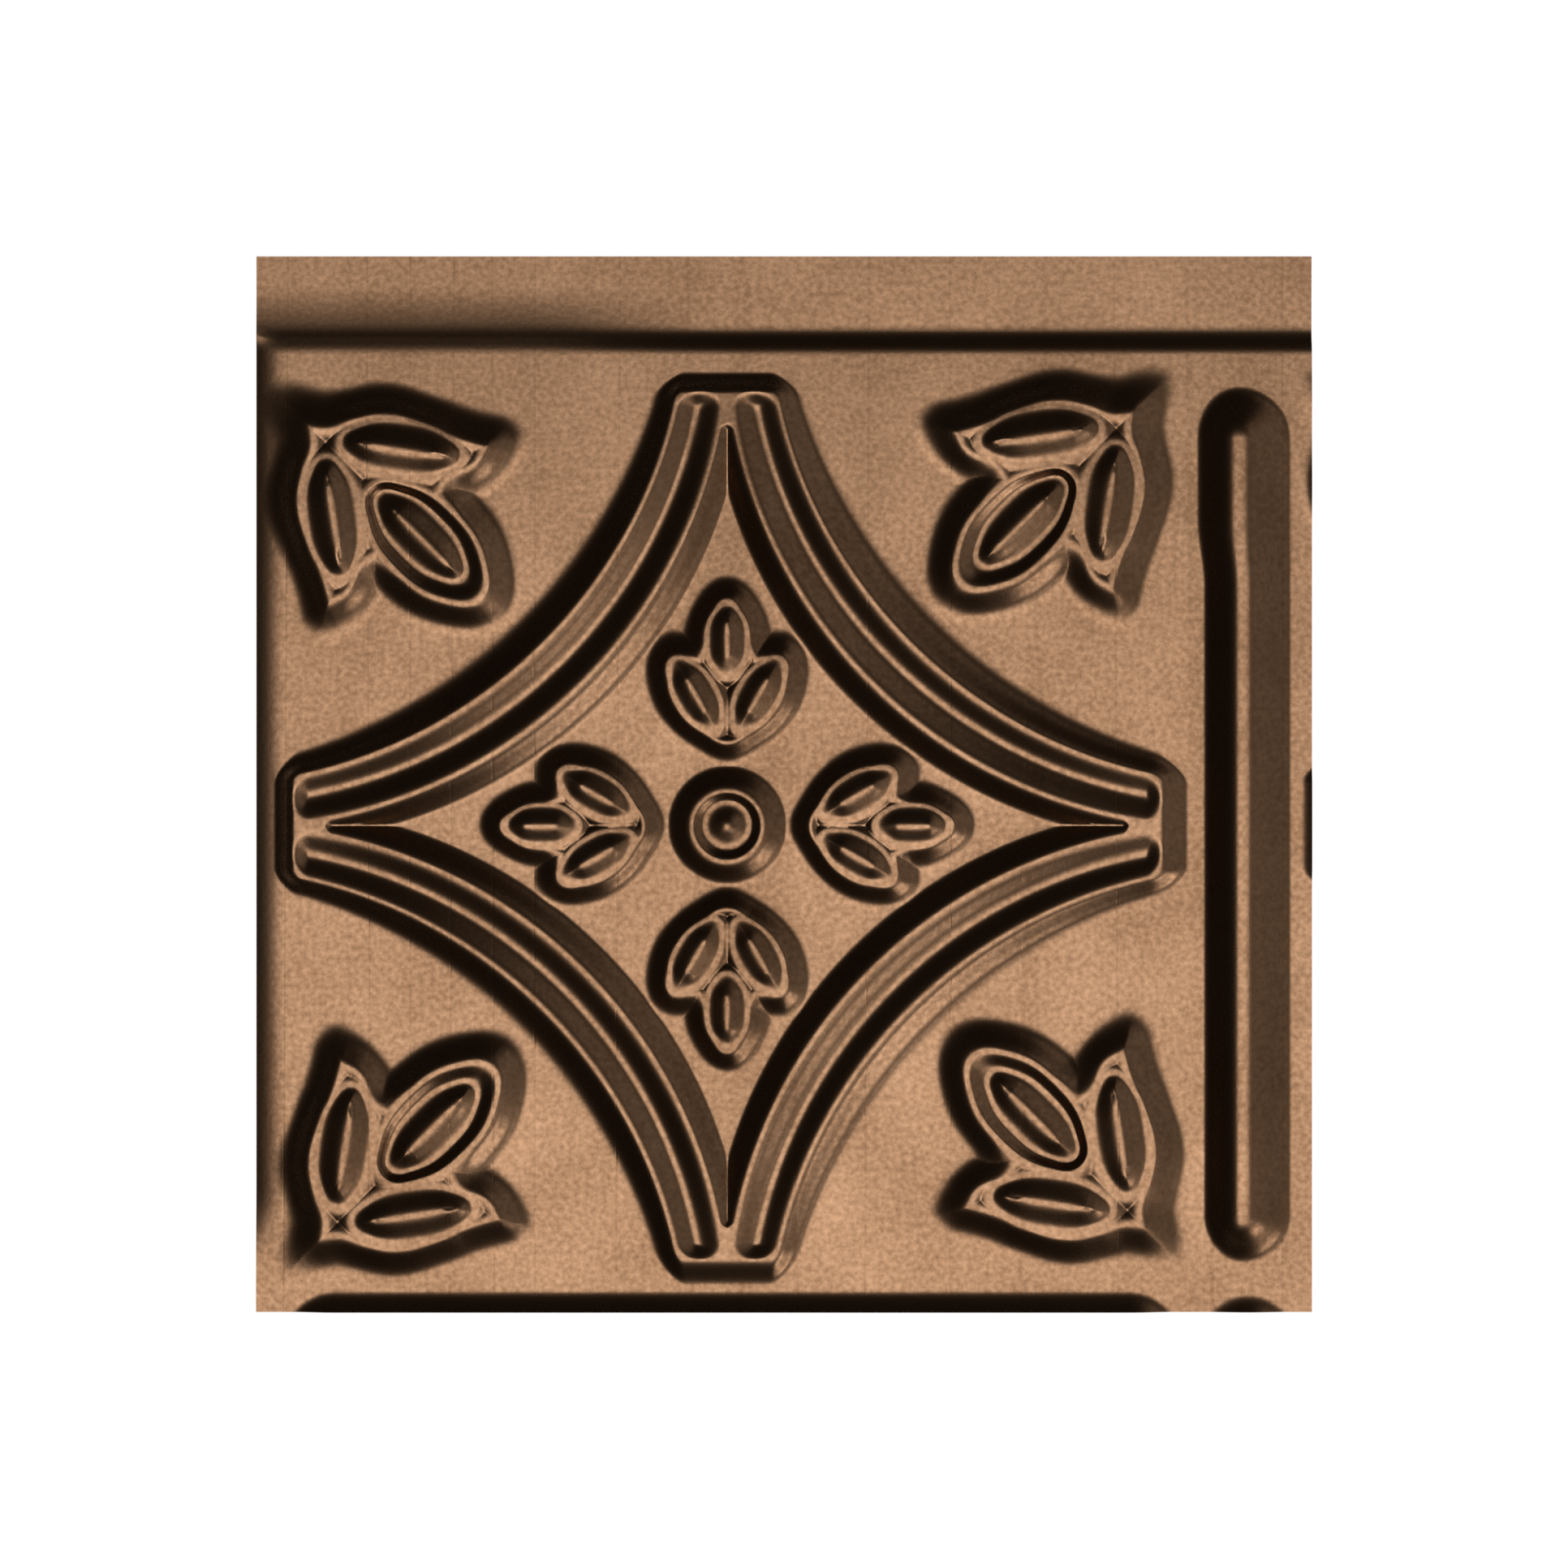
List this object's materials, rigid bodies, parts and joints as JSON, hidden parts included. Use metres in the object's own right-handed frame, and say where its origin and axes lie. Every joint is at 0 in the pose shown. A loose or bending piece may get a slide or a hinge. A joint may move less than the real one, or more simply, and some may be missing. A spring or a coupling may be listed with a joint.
{
  "type": "backsplash panel",
  "caption": "Thin pressed vinyl backsplash sheet with a raised star frame, boss, buds, corner leaves and half-round bars, and a flat rail along its top edge.",
  "frame": {"origin": "under the middle of the cut sheet, on the plane that the rail's back lies on", "axes": "+Z out of the patterned face, +Y towards the rail along the top edge, +X to the right seen from the front"},
  "size_m": [0.1524, 0.1524, 0.0045],
  "materials": {
    "bronze_vinyl": "satin bronze metallic film on vinyl, with a fine leathery grain"
  },
  "bodies": {
    "root": {"panel": "bronze_vinyl"}
  },
  "joints": []
}
